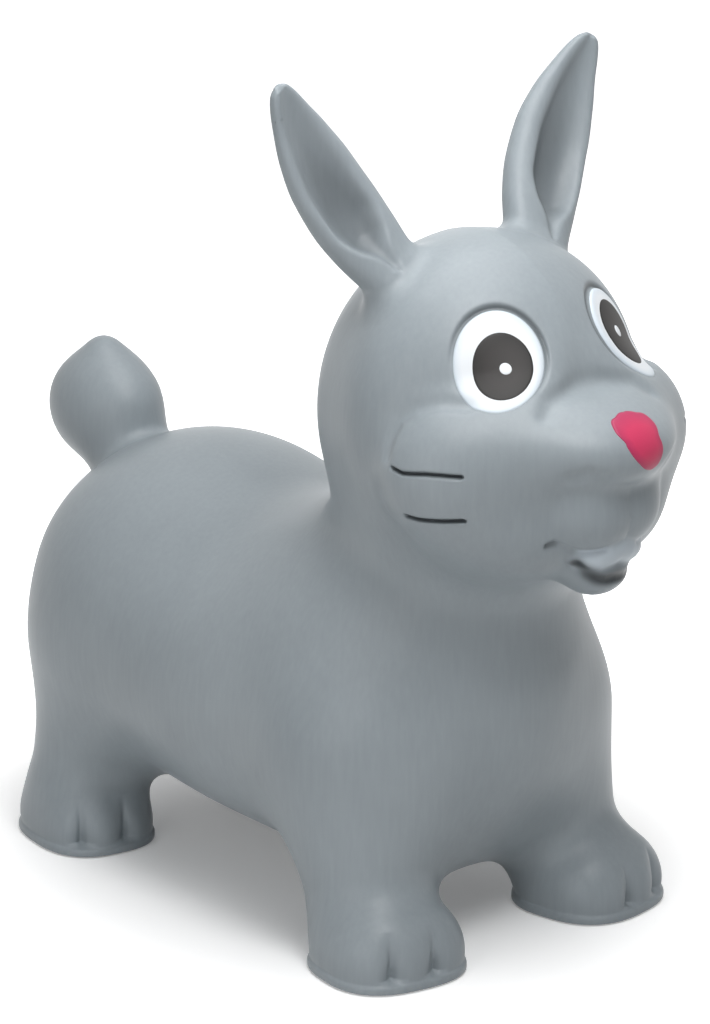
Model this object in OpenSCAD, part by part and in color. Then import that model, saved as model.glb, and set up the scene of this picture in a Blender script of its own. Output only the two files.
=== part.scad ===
// Inflatable jumping rabbit: one air-tight skin moulded in soft PVC, drawn in the regions
// that it is moulded in, with its paint films, its valve seat and its push-in plug.
// The rabbit faces -Y and stands on four flat soles at z = 0. Its left side is +X.

/* [Skin] */
// Thickness of the moulded wall
wall = 2.4; // [1.6:0.1:4]
// Thickness of one coat of paint
film = 0.4; // [0.2:0.1:0.8]

/* [Torso] */
// Width of the rump
rump_w = 244; // [200:1:270]
// Length of the rump
rump_l = 198; // [170:1:220]
// Height of the rump
rump_h = 212; // [190:1:226]
// Distance of the rump's middle behind the saddle
rump_y = 107; // [90:1:120]
// Height of the rump's middle above the floor
rump_z = 152; // [142:1:165]
// Width of the belly
belly_w = 242; // [200:1:270]
// Length of the long oval that the belly follows
belly_l = 398; // [340:1:430]
// Height of the belly from its underside to the saddle
belly_h = 196; // [180:1:214]
// Distance of the belly's middle behind the saddle
belly_y = 4; // [0:1:14]
// Height of the belly's middle above the floor
belly_z = 130; // [124:1:145]
// Width of the girth behind the front legs
girth_w = 230; // [200:1:260]
// Length of the girth
girth_l = 222; // [190:1:240]
// Height of the girth
girth_h = 242; // [220:1:254]
// Distance of the girth ahead of the saddle
girth_y = 92; // [80:1:104]
// Height of the girth's middle above the floor
girth_z = 145; // [138:1:158]
// Width of the chest between the front legs
chest_w = 246; // [210:1:266]
// Length of the chest
chest_l = 208; // [180:1:226]
// Height of the chest
chest_h = 212; // [190:1:226]
// Distance of the chest's middle ahead of the saddle
chest_y = 95; // [84:1:108]
// Height of the chest's middle above the floor
chest_z = 129; // [122:1:142]
// Width of the throat
throat_w = 148; // [120:1:170]
// Length of the throat
throat_l = 160; // [130:1:180]
// Height of the throat
throat_h = 186; // [160:1:200]
// Distance of the throat ahead of the saddle
throat_y = 122; // [110:1:134]
// Height of the throat's middle above the floor
throat_z = 221; // [208:1:234]
// Width of the neck
neck_w = 160; // [130:1:168]
// Length of the neck
neck_l = 148; // [120:1:160]
// Height of the neck
neck_h = 132; // [110:1:144]
// Distance of the neck ahead of the saddle
neck_y = 150; // [140:1:162]
// Height of the neck's middle above the floor
neck_z = 294; // [280:1:304]

/* [Head] */
// Width of the skull
skull_w = 186; // [160:1:210]
// Length of the skull
skull_l = 196; // [170:1:220]
// Height of the skull
skull_h = 216; // [190:1:240]
// Distance of the skull's middle ahead of the saddle
skull_y = 151; // [135:1:165]
// Height of the skull's middle above the floor
skull_z = 327; // [310:1:345]
// Width of one cheek
cheek_w = 126; // [105:1:145]
// Length of a cheek
cheek_l = 100; // [80:1:120]
// Height of a cheek
cheek_h = 90; // [78:1:104]
// Distance of a cheek's middle from the middle plane
cheek_x = 41; // [30:1:52]
// Distance of the cheeks ahead of the saddle
cheek_y = 204; // [190:1:215]
// Height of the cheeks' middle above the floor
cheek_z = 308; // [298:1:318]
// Width of one jowl
jowl_w = 92; // [76:1:108]
// Length of a jowl
jowl_l = 100; // [84:1:116]
// Height of a jowl
jowl_h = 68; // [56:1:80]
// Distance of a jowl's middle from the middle plane
jowl_x = 22; // [14:1:30]
// Distance of the jowls ahead of the saddle
jowl_y = 208; // [198:1:216]
// Height of the jowls' middle above the floor
jowl_z = 276; // [268:1:286]
// Width of the muzzle
muzzle_w = 104; // [95:1:130]
// Length of the muzzle
muzzle_l = 94; // [70:1:100]
// Height of the muzzle
muzzle_h = 68; // [60:1:90]
// Distance of the muzzle's middle ahead of the saddle
muzzle_y = 243; // [235:1:258]
// Height of the muzzle's middle above the floor
muzzle_z = 328; // [318:1:338]
// Width of one lobe of the upper lip
lip_w = 42; // [38:1:60]
// Length of a lobe of the upper lip
lip_l = 43; // [36:1:54]
// Height of a lobe of the upper lip
lip_h = 44; // [38:1:54]
// Distance of a lobe's middle from the middle plane
lip_x = 14; // [11:1:20]
// Distance of the upper lip ahead of the muzzle's middle
lip_ahead = 17; // [9:1:23]
// Depth of the upper lip's middle below the muzzle's middle
lip_below = 38; // [30:1:44]
// Width of the lower jaw
jaw_w = 54; // [46:1:70]
// Length of the lower jaw
jaw_l = 43; // [36:1:56]
// Height of the lower jaw
jaw_h = 36; // [30:1:46]
// Diameter of the rolled edge of the lower lip
lower_lip_d = 9; // [7:0.5:11]
// Distance of the mouth's corner from the middle plane
mouth_corner_x = 33; // [26:1:38]
// Distance of the mouth's corner ahead of the muzzle's middle
mouth_corner_ahead = 6; // [0:1:11]
// Depth of the mouth's corner below the muzzle's middle
mouth_corner_below = 56; // [50:1:60]
// Distance of the lower lip's bend from the middle plane
mouth_bend_x = 15; // [10:1:20]
// Distance of the lower lip's bend ahead of the muzzle's middle
mouth_bend_ahead = 20; // [13:1:23]
// Depth of the lower lip's bend below the muzzle's middle
mouth_bend_below = 65; // [61:1:69]
// Distance of the lower jaw ahead of the muzzle's middle
jaw_ahead = 4; // [-3:1:10]
// Depth of the lower jaw's middle below the muzzle's middle
jaw_below = 73; // [66:1:78]

/* [Ears] */
// Distance of an ear's root from the middle plane
ear_root_x = 59; // [52:1:75]
// Distance of an ear's root ahead of the saddle
ear_root_y = 134; // [110:1:140]
// Height of an ear's root above the floor
ear_root_z = 420; // [408:1:428]
// Distance of an ear's tip from the middle plane
ear_tip_x = 122; // [100:1:150]
// Distance of an ear's tip ahead of the saddle
ear_tip_y = 112; // [90:1:125]
// Height of an ear's tip above the floor
ear_tip_z = 530; // [510:1:560]
// Distance by which the middle of an ear bows backwards
ear_bow = 9; // [0:0.5:14]
// Depth to which an ear's root runs into the head
ear_root_in = 12; // [6:1:18]
// Width of an ear at its root
ear_root_w = 43; // [34:1:50]
// Width of an ear where it is widest
ear_w = 54; // [44:1:60]
// Thickness of an ear where it is widest
ear_thick = 24; // [20:1:34]
// Width of an ear's rounded tip
ear_tip_w = 13; // [9:1:18]
// Depth of the hollow in the front of an ear
ear_hollow = 9; // [4:0.5:13]
// Angle by which an ear's front turns outwards
ear_turn = -14; // [-25:1:10]

/* [Tail] */
// Width of the tail
tail_w = 66; // [54:1:78]
// Length of the tail
tail_l = 84; // [70:1:96]
// Height of the tail's round part
tail_h = 76; // [64:1:88]
// Distance of the tail behind the saddle
tail_y = 211; // [200:1:222]
// Height of the tail's middle above the floor
tail_z = 254; // [245:1:262]
// Distance of the tail's point behind the saddle
tail_tip_y = 211; // [200:1:222]
// Height of the tail's point above the floor
tail_tip_z = 303; // [295:1:315]
// Diameter of the tail's point
tail_tip_d = 13; // [8:1:18]
// Diameter of the tail's stem
stem_d = 54; // [44:1:64]
// Distance of the stem's root behind the saddle
stem_y = 184; // [175:1:192]
// Height of the stem's root above the floor
stem_z = 226; // [215:1:235]

/* [Front legs] */
// Distance of a front thigh from the middle plane
front_thigh_x = 61; // [50:1:70]
// Distance of a front thigh ahead of the saddle
front_thigh_y = 117; // [105:1:130]
// Height of a front thigh above the floor
front_thigh_z = 119; // [105:1:130]
// Diameter of a front thigh
front_thigh_d = 114; // [100:1:125]
// Distance of a front ankle from the middle plane
front_ankle_x = 79; // [70:1:90]
// Distance of a front ankle ahead of the saddle
front_ankle_y = 141; // [130:1:152]
// Height of a front ankle above the floor
front_ankle_z = 43; // [38:1:50]
// Diameter of a front ankle
front_ankle_d = 72; // [60:1:80]
// Distance of a front paw from the middle plane
front_paw_x = 82; // [74:1:92]
// Distance of a front paw's middle ahead of the saddle
front_paw_y = 164; // [152:1:174]
// Width of a front paw
front_paw_w = 82; // [70:1:94]
// Length of a front paw
front_paw_l = 88; // [76:1:100]

/* [Rear legs] */
// Distance of a rear thigh from the middle plane
rear_thigh_x = 57; // [48:1:66]
// Distance of a rear thigh behind the saddle
rear_thigh_y = 124; // [112:1:136]
// Height of a rear thigh above the floor
rear_thigh_z = 117; // [105:1:128]
// Diameter of a rear thigh
rear_thigh_d = 104; // [90:1:116]
// Distance of a rear ankle from the middle plane
rear_ankle_x = 77; // [68:1:88]
// Distance of a rear ankle behind the saddle
rear_ankle_y = 136; // [126:1:146]
// Height of a rear ankle above the floor
rear_ankle_z = 43; // [38:1:50]
// Diameter of a rear ankle
rear_ankle_d = 68; // [58:1:78]
// Distance of a rear paw from the middle plane
rear_paw_x = 80; // [72:1:90]
// Distance of a rear paw's middle behind the saddle
rear_paw_y = 128; // [118:1:138]
// Width of a rear paw
rear_paw_w = 76; // [66:1:86]
// Length of a rear paw
rear_paw_l = 92; // [80:1:104]

/* [Paws] */
// Height of a paw's instep
paw_h = 50; // [42:1:58]
// Height of a toe
toe_h = 36; // [30:1:44]
// Length of a toe
toe_l = 40; // [34:1:46]
// Width of a toe
toe_w = 27; // [23:1:31]
// Distance by which the outer toes stand behind the middle one
toe_back = 4; // [2:0.5:8]
// Angle by which a paw turns outwards
paw_turn = 10; // [0:1:18]
// Height of the sole's rim
sole_h = 7; // [4:0.5:9]
// Distance by which the sole's rim stands proud
sole_rim = 1.5; // [0.5:0.5:3]

/* [Eyes and nose] */
// Width of the white of an eye
white_w = 52; // [46:1:58]
// Height of the white of an eye
white_h = 61; // [54:1:68]
// Width of a pupil
pupil_w = 34; // [28:1:40]
// Height of a pupil
pupil_h = 42; // [34:1:48]
// Distance by which a pupil stands nearer to the nose than the white's middle
pupil_in = 3; // [0:0.5:5]
// Diameter of the light spot in a pupil
glint_d = 8; // [5:0.5:12]
// Distance of an eye's middle from the middle plane
eye_x = 50; // [46:1:56]
// Distance of an eye's middle ahead of the saddle
eye_y = 219; // [215:1:227]
// Height of an eye's middle above the floor
eye_z = 375; // [372:1:386]
// Angle by which an eye looks outwards
eye_out = 39; // [32:1:46]
// Angle by which an eye looks upwards
eye_up = 25; // [18:1:34]
// Depth of the raised oval under an eye
eye_dome_h = 14; // [11:1:18]
// Width of the nose
nose_w = 37; // [32:1:44]
// Height of the nose
nose_h = 35; // [30:1:40]
// Radius of the nose's corners
nose_r = 8; // [5:0.5:11]
// Height of the nose's middle above the floor
nose_z = 337; // [330:1:346]
// Angle by which the nose looks upwards
nose_up = 25; // [10:1:40]

/* [Whisker grooves] */
// Width of a groove
groove_w = 2.2; // [1.2:0.2:3]
// Height of the upper groove above the floor
groove_upper_z = 320; // [312:1:328]
// Height of the lower groove above the floor
groove_lower_z = 291; // [286:1:298]
// Distance of a groove's rear end ahead of the saddle
groove_rear_y = 188; // [180:1:196]
// Distance of a groove's front end ahead of the saddle
groove_front_y = 232; // [224:1:238]

/* [Valve] */
// Distance of the valve ahead of the saddle
valve_y = 0; // [-30:1:30]
// Diameter of the thick pad that is moulded round the valve
pad_d = 46; // [42:1:56]
// Height of the pad's flat top above the lowest point of the belly
pad_h = 6; // [5:0.5:9]
// Diameter of the valve seat's inner flange
seat_flange_d = 36; // [32:1:40]
// Thickness of the inner flange
seat_flange_h = 2; // [1.5:0.5:3]
// Diameter of the valve seat's tube
seat_d = 20; // [19:0.5:24]
// Height of the tube above the inner flange
seat_tube_h = 9; // [6:0.5:14]
// Diameter of the plug's stem
plug_d = 9; // [7:0.5:10]
// Diameter of the plug's head
plug_head_d = 15; // [14:0.5:16]
// Thickness of the plug's head
plug_head_h = 2.5; // [2:0.5:4]
// Length of the plug's stem
plug_stem_h = 13; // [10:0.5:14]
// Radial gap between the plug and its seat
plug_gap = 0.1; // [0.05:0.05:0.3]
// Radial gap between the seat's tube and the hole in the pad
seat_gap = 0.1; // [0.05:0.05:0.3]

/* [Hidden] */

// Steps round the large rounds, the small rounds and the turned valve
large_steps = 24;
small_steps = 16;
turned_steps = 64;

// The frame's origin lies under the middle of the whole length
tail_rear = tail_y + tail_l / 2;
nose_front = muzzle_y + muzzle_l / 2 + film;
frame_y = (nose_front - tail_rear) / 2;

// Cuts run past what they cut by the width of a paw
overrun = front_paw_w;

// Height of the ear's stations as shares of its length, and their widths as shares of its widest
ear_height_shares = [0.30, 0.60, 0.85];
ear_width_shares = [1.00, 0.88, 0.54];
// Thickness of the ear at its root and tip, as a share of its width there
ear_end_thick_share = 0.72;
// Ends and widths of the ear's hollow, as shares of the ear's length and width
hollow_height_shares = [0.16, 0.42, 0.86];
hollow_width_shares = [0.36, 0.74, 0.24];

// How far the toes and the heel reach, as shares of the paw's width and length
toe_pitch_share = 0.31;
heel_share = 0.80;
instep_share = 0.94;

// Width of the raised oval under an eye, as a share of the white, and how far its top stands out
eye_dome_share = 1.60;
eye_dome_out_share = 0.18;

ear_dx = ear_tip_x - ear_root_x;
ear_dy = ear_root_y - ear_tip_y;
ear_dz = ear_tip_z - ear_root_z;
ear_l = norm([ear_dx, ear_dy, ear_dz]);
ear_lean = atan2(ear_dx, ear_dz);
ear_pitch = -asin(ear_dy / ear_l);

belly_low = belly_z - belly_h / 2;
seat_bore_d = plug_d + 2 * plug_gap;
seat_recess_d = plug_head_d + 2 * plug_gap;
seat_h = pad_h + seat_flange_h + seat_tube_h;

// An ellipsoid of the given full sizes, drawn in on every side by inset
module blob(place, size, inset = 0, steps = large_steps)
    translate(place) scale(size / 2 - [inset, inset, inset]) sphere(1, $fn = steps);

module ball(place, d, inset = 0, steps = small_steps)
    blob(place, [d, d, d], inset, steps);

// The left side is drawn, and the right side is its mirror image
module on_side(side)
    if (side < 0) mirror([1, 0, 0]) children(); else children();

module both_sides() {
    on_side(1) children();
    on_side(-1) children();
}

module rump_blob(inset) blob([0, rump_y, rump_z], [rump_w, rump_l, rump_h], inset);
module belly_blob(inset) blob([0, belly_y, belly_z], [belly_w, belly_l, belly_h], inset);
module girth_blob(inset) blob([0, -girth_y, girth_z], [girth_w, girth_l, girth_h], inset);
module chest_blob(inset) blob([0, -chest_y, chest_z], [chest_w, chest_l, chest_h], inset);
module throat_blob(inset) blob([0, -throat_y, throat_z], [throat_w, throat_l, throat_h], inset);
module neck_blob(inset) blob([0, -neck_y, neck_z], [neck_w, neck_l, neck_h], inset);

// From the rump to the neck each form runs into the next, with the saddle over the belly
module torso_form(inset = 0) {
    hull() { rump_blob(inset); belly_blob(inset); }
    hull() { belly_blob(inset); girth_blob(inset); }
    hull() { girth_blob(inset); chest_blob(inset); }
    hull() { chest_blob(inset); throat_blob(inset); }
    hull() { throat_blob(inset); neck_blob(inset); }
}

module cheek_blob(inset) blob([cheek_x, -cheek_y, cheek_z], [cheek_w, cheek_l, cheek_h], inset);
// A place on the face, to one side of the muzzle's middle, ahead of it and below it
function at_muzzle(side, ahead, below) = [side, -muzzle_y - ahead, muzzle_z - below];

module jowl_blob(inset) blob([jowl_x, -jowl_y, jowl_z], [jowl_w, jowl_l, jowl_h], inset, small_steps);
module lip_blob(inset)
    blob(at_muzzle(lip_x, lip_ahead, lip_below), [lip_w, lip_l, lip_h], inset, small_steps);

// The eye's own frame: z looks out of the eye, x runs across it, away from the nose
module at_eye()
    translate([eye_x, -eye_y, eye_z]) rotate([0, 0, eye_out]) rotate([90 - eye_up, 0, 0]) children();

module eye_dome(inset, steps = small_steps) at_eye()
    blob([0, 0, eye_dome_h * (eye_dome_out_share - 1)],
        [white_w * eye_dome_share, white_h * eye_dome_share, 2 * eye_dome_h], inset, steps);

// The nose's own frame: z looks out of the nose, and y runs up it
module at_nose() translate([0, -muzzle_y - muzzle_l / 2, nose_z]) rotate([90 - nose_up, 0, 0]) children();

// The lower lip's rolled edge runs from one corner of the mouth to the other
module mouth_end(place, inset) ball(place, lower_lip_d, inset);
module lower_lip(inset) {
    both_sides() hull() {
        mouth_end(at_muzzle(mouth_corner_x, mouth_corner_ahead, mouth_corner_below), inset);
        mouth_end(at_muzzle(mouth_bend_x, mouth_bend_ahead, mouth_bend_below), inset);
    }
    hull() both_sides() mouth_end(at_muzzle(mouth_bend_x, mouth_bend_ahead, mouth_bend_below), inset);
}

module muzzle_blob(inset, steps = small_steps)
    blob([0, -muzzle_y, muzzle_z], [muzzle_w, muzzle_l, muzzle_h], inset, steps);

// The form inside the face that the muzzle, the lips and the jaw all run into
module mouth_core(inset)
    ball(at_muzzle(0, jaw_ahead / 2, jaw_below / 2), lip_h, inset);

module head_form(inset = 0) {
    blob([0, -skull_y, skull_z], [skull_w, skull_l, skull_h], inset);
    hull() both_sides() cheek_blob(inset);
    hull() both_sides() jowl_blob(inset);
    muzzle_blob(inset);
    both_sides() lip_blob(inset);
    blob(at_muzzle(0, jaw_ahead, jaw_below), [jaw_w, jaw_l, jaw_h], inset, small_steps);
    lower_lip(inset);
    mouth_core(inset);
    both_sides() eye_dome(inset);
}

// The ear's own frame: z runs from root to tip, and -y is the hollow front
module at_ear()
    translate([ear_root_x, -ear_root_y, ear_root_z])
        rotate([0, ear_lean, 0]) rotate([ear_pitch, 0, 0]) rotate([0, 0, ear_turn]) children();

// How far back the ear's middle line lies at a height: nothing at its ends, the bow half way up
function ear_back(height) = 4 * ear_bow * max(0, height) * (ear_l - height) / pow(ear_l, 2);

// One station of the ear, at a height and with a width and a thickness
module ear_station(height, width, thick, inset)
    blob([0, ear_back(height), height], [width, thick, width], inset, small_steps);

function ear_heights() = [for (s = ear_height_shares) s * ear_l];

module ear_body(inset) {
    heights = concat([-ear_root_in], ear_heights(), [ear_l - ear_tip_w / 2]);
    widths = concat([ear_root_w], [for (s = ear_width_shares) s * ear_w], [ear_tip_w]);
    thicks = concat([ear_root_w * ear_end_thick_share],
        [for (s = ear_width_shares) s * ear_thick], [ear_tip_w * ear_end_thick_share]);
    for (i = [0 : len(heights) - 2]) hull() {
        ear_station(heights[i], widths[i], thicks[i], inset);
        ear_station(heights[i + 1], widths[i + 1], thicks[i + 1], inset);
    }
}

// The hollow is a spoon-shaped cut that leaves a rounded rim along both edges
module ear_scoop_end(height, width, depth_share, inset)
    blob([0, ear_back(height) - ear_thick / 2, height], [width, 2 * ear_hollow * depth_share, width],
        -inset, small_steps);

module ear_scoop(inset) {
    for (i = [0 : len(hollow_height_shares) - 2]) hull() for (j = [i, i + 1])
        ear_scoop_end(hollow_height_shares[j] * ear_l, hollow_width_shares[j] * ear_w,
            hollow_width_shares[j] / max(hollow_width_shares), inset);
}

module ear_form(inset = 0)
    at_ear() difference() {
        ear_body(inset);
        ear_scoop(inset);
    }

module tail_form(inset = 0) {
    hull() {
        blob([0, tail_y, tail_z], [tail_w, tail_l, tail_h], inset, small_steps);
        ball([0, tail_tip_y, tail_tip_z - tail_tip_d / 2], tail_tip_d, inset);
    }
    hull() {
        ball([0, tail_y, tail_z], stem_d, inset);
        ball([0, stem_y, stem_z], stem_d, inset);
    }
}

// The outline of a sole: three toes in front, a broad heel behind
module sole_outline(w, l)
    hull() {
        for (i = [-1 : 1])
            translate([i * toe_pitch_share * w, toe_back * abs(i) - l / 2 + toe_w / 2])
                circle(d = toe_w, $fn = small_steps);
        translate([0, l / 2 - heel_share * w / 2]) circle(d = heel_share * w, $fn = small_steps);
    }

// A paw in its own frame, toes towards -y: the instep, three toes and the rim of the sole
module paw_form(w, l, inset) {
    blob([0, 0, toe_h / 2], [w * instep_share, l * instep_share, 2 * (paw_h - toe_h / 2)], inset,
        small_steps);
    for (i = [-1 : 1]) hull() {
        blob([i * toe_pitch_share * w, toe_back * abs(i) - l / 2 + toe_l / 2, toe_h / 2],
            [toe_w, toe_l, toe_h], inset, small_steps);
        blob([i * toe_pitch_share * w / 2, 0, toe_h / 2], [toe_w, toe_l, toe_h], inset, small_steps);
    }
    translate([0, 0, inset]) linear_extrude(sole_h - 2 * inset)
        offset(delta = sole_rim - inset) sole_outline(w, l);
}

// A leg from its thigh inside the torso to its paw, cut flat at the floor
module leg_form(thigh, thigh_d, ankle, ankle_d, paw, w, l, inset) {
    difference() {
        union() {
            hull() {
                ball(thigh, thigh_d, inset, large_steps);
                ball(ankle, ankle_d, inset);
            }
            hull() {
                ball(ankle, ankle_d, inset);
                translate(paw) rotate([0, 0, paw_turn])
                    blob([0, 0, toe_h / 2], [w, l, toe_h] * instep_share, inset, small_steps);
            }
            translate(paw) rotate([0, 0, paw_turn]) paw_form(w, l, inset);
        }
        translate([-overrun + paw[0], -overrun + paw[1], inset - overrun])
            cube([2 * overrun, 2 * overrun, overrun]);
    }
}

module front_leg_form(inset = 0)
    leg_form([front_thigh_x, -front_thigh_y, front_thigh_z], front_thigh_d,
        [front_ankle_x, -front_ankle_y, front_ankle_z], front_ankle_d,
        [front_paw_x, -front_paw_y, 0], front_paw_w, front_paw_l, inset);

module rear_leg_form(inset = 0)
    leg_form([rear_thigh_x, rear_thigh_y, rear_thigh_z], rear_thigh_d,
        [rear_ankle_x, rear_ankle_y, rear_ankle_z], rear_ankle_d,
        [rear_paw_x, rear_paw_y, 0], rear_paw_w, rear_paw_l, inset);

// The air inside: every form drawn in by the wall, joined into one chamber
module air() {
    torso_form(wall);
    head_form(wall);
    tail_form(wall);
    both_sides() ear_form(wall);
    both_sides() front_leg_form(wall);
    both_sides() rear_leg_form(wall);
}

// The thick pad round the valve: its underside is the belly's own surface, its top is flat
module valve_pad()
    intersection() {
        torso_form();
        translate([0, -valve_y, belly_low - overrun + pad_h])
            cylinder(d = pad_d, h = overrun, $fn = turned_steps);
    }

module torso_skin() color("#8f989d") difference() {
    union() {
        difference() {
            torso_form();
            air();
        }
        valve_pad();
    }
    translate([0, -valve_y, belly_low - overrun])
        cylinder(d = seat_d + 2 * seat_gap, h = 2 * overrun, $fn = turned_steps);
}

// A point on the cheek's surface at a distance ahead of the saddle and a height
function on_cheek(y, z) = [
    cheek_x + cheek_w / 2 * sqrt(max(0, 1 - pow((y - cheek_y) * 2 / cheek_l, 2)
        - pow((z - cheek_z) * 2 / cheek_h, 2))), -y, z];

// A groove is a string of short round cuts that follows the cheek
groove_parts = 4;
module groove(z)
    for (i = [0 : groove_parts - 1]) hull() for (j = [i, i + 1])
        translate(on_cheek(groove_rear_y + (groove_front_y - groove_rear_y) * j / groove_parts, z))
            sphere(d = groove_w, $fn = 8);

module head_skin() color("#98a1a7") difference() {
    head_form();
    torso_form();
    air();
    both_sides() {
        groove(groove_upper_z);
        groove(groove_lower_z);
    }
}

module ear_skin(side) color("#8b959a") difference() {
    on_side(side) ear_form();
    head_form();
    air();
}

module tail_skin() color("#99a2a7") difference() {
    tail_form();
    torso_form();
    air();
}

module front_leg(side) color("#8f989d") difference() {
    on_side(side) front_leg_form();
    torso_form();
    air();
}

module rear_leg(side) color("#8f989d") difference() {
    on_side(side) rear_leg_form();
    torso_form();
    air();
}

// A coat of paint on the dome under an eye, inside an oval: coat 1 lies on the skin
module eye_coat(number, w, h, across)
    difference() {
        intersection() {
            eye_dome(-number * film, turned_steps);
            at_eye() translate([-across, 0, -eye_dome_h]) linear_extrude(2 * eye_dome_h)
                scale([w / 2, h / 2]) circle(1, $fn = turned_steps);
        }
        eye_dome(-(number - 1) * film, turned_steps);
    }

module eye_white(side) color("#f4f6f6") on_side(side) eye_coat(1, white_w, white_h, 0);
module pupil(side) color("#4a4644") on_side(side) eye_coat(2, pupil_w, pupil_h, pupil_in);
module eye_glint(side) color("#eef3f3") on_side(side) eye_coat(3, glint_d, glint_d, pupil_in);

// A triangle with round corners, its point down
module nose_outline() {
    corner_x = nose_w / 2 - nose_r;
    corner_z = nose_h / 2 - nose_r;
    hull() {
        for (s = [-1, 1]) translate([s * corner_x, corner_z]) circle(nose_r, $fn = small_steps);
        translate([0, -corner_z]) circle(nose_r, $fn = small_steps);
    }
}

module nose_paint() color("#d0355a") difference() {
    intersection() {
        muzzle_blob(-film, turned_steps);
        at_nose() translate([0, 0, -muzzle_l / 2]) linear_extrude(muzzle_l) nose_outline();
    }
    muzzle_blob(0, turned_steps);
}

// The seat is a turned tube with a flange that lies on the pad, and a recess for the plug's head
module valve_seat() color("#b9bfc2")
    translate([0, -valve_y, belly_low]) difference() {
        union() {
            cylinder(d = seat_d, h = seat_h, $fn = turned_steps);
            translate([0, 0, pad_h]) cylinder(d = seat_flange_d, h = seat_flange_h, $fn = turned_steps);
        }
        translate([0, 0, -seat_h]) cylinder(d = seat_bore_d, h = 3 * seat_h, $fn = turned_steps);
        translate([0, 0, -seat_h]) cylinder(d = seat_recess_d, h = seat_h + plug_head_h, $fn = turned_steps);
    }

module valve_plug() color("#e6e4dc")
    translate([0, -valve_y, belly_low]) {
        cylinder(d = plug_head_d, h = plug_head_h, $fn = turned_steps);
        translate([0, 0, plug_head_h]) cylinder(d = plug_d, h = plug_stem_h, $fn = turned_steps);
    }

// Every sub-part is placed in the frame in the same way
module placed() translate([0, frame_y, 0]) children();

placed() torso_skin();
placed() head_skin();
placed() ear_skin(1);  // ear_skin_left
placed() ear_skin(-1);  // ear_skin_right
placed() tail_skin();
placed() front_leg(1);  // front_leg_left
placed() front_leg(-1);  // front_leg_right
placed() rear_leg(1);  // rear_leg_left
placed() rear_leg(-1);  // rear_leg_right
placed() eye_white(1);  // eye_white_left
placed() eye_white(-1);  // eye_white_right
placed() pupil(1);  // pupil_left
placed() pupil(-1);  // pupil_right
placed() eye_glint(1);  // eye_glint_left
placed() eye_glint(-1);  // eye_glint_right
placed() nose_paint();
placed() valve_seat();
placed() valve_plug();
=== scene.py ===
import bpy
import numpy as np
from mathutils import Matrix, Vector


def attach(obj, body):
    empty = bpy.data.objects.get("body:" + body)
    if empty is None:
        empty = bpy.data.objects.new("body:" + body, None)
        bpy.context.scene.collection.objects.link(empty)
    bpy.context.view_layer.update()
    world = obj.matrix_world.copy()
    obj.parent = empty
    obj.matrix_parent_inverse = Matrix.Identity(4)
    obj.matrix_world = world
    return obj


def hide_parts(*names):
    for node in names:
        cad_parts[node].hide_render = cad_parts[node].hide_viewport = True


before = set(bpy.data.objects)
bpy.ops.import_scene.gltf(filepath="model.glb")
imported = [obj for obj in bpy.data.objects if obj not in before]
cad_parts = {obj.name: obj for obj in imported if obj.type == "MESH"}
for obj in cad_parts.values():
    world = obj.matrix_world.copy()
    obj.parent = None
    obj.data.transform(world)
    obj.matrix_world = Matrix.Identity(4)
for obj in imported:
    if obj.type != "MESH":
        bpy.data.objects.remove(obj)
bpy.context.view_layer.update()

# The skin is worked out in millimetres: x to the rabbit's left, y to its tail, z up,
# with the saddle at y = 0. Pieces are moved back by saddleBack and turned to metres at the end.
mm = 0.001
saddleBack = 18.7
farAway = 400.0  # a form's distance where it isn't worked out


# Fields: the distance to a form in millimetres, negative inside it

def ellipsoid(p, place, radii):
    q = p - np.array(place, float)
    r = np.array(radii, float)
    near = np.sqrt(((q / r) ** 2).sum(1))
    slope = np.sqrt(((q / r ** 2) ** 2).sum(1))
    return near * (near - 1) / np.maximum(slope, 1e-9)


def roundCone(p, a, b, ra, rb):
    a = np.array(a, float)
    axis = np.array(b, float) - a
    length = np.sqrt(axis @ axis)
    lean = (ra - rb) / np.sqrt(max(length ** 2 - (ra - rb) ** 2, 1e-9))
    w = p - a
    along = w @ axis / length
    across = np.sqrt(np.maximum((w ** 2).sum(1) - along ** 2, 0))
    t = np.clip((along - across * lean) / length, 0, 1)
    return np.sqrt((along - t * length) ** 2 + across ** 2) - (ra + (rb - ra) * t)


def melt(a, b, reach):  # the two forms run into each other over this reach
    h = np.maximum(reach - np.abs(a - b), 0) / reach
    return np.minimum(a, b) - h * h * reach / 4


def trim(a, b, reach):  # what both forms share, with a rounded edge
    return -melt(-a, -b, reach)


def turned(x, y, angle):
    c, s = np.cos(np.radians(angle)), np.sin(np.radians(angle))
    return c * x + s * y, c * y - s * x


def mirrored(p):  # the same points on the left side, where the forms are drawn
    q = p.copy()
    q[:, 0] = np.abs(q[:, 0])
    return q


def bell(distance, width):  # 1 on a line, fading away to both sides
    return np.exp(-(distance / width) ** 2)


def smoothCurve(t, knots, values):  # a curve through the values that never overshoots them
    k, v = np.array(knots, float), np.array(values, float)
    d = np.diff(v) / np.diff(k)
    m = np.zeros(len(k))
    same = d[1:] * d[:-1] > 0
    m[1:-1][same] = 2 * d[1:][same] * d[:-1][same] / (d[1:] + d[:-1])[same]
    m[0], m[-1] = d[0], d[-1]
    t = np.clip(t, k[0], k[-1])
    i = np.clip(np.searchsorted(k, t) - 1, 0, len(k) - 2)
    h = k[i + 1] - k[i]
    u = (t - k[i]) / h
    return ((1 + 2 * u) * (1 - u) ** 2 * v[i] + u * (1 - u) ** 2 * h * m[i]
            + u * u * (3 - 2 * u) * v[i + 1] + u * u * (u - 1) * h * m[i + 1])


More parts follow.
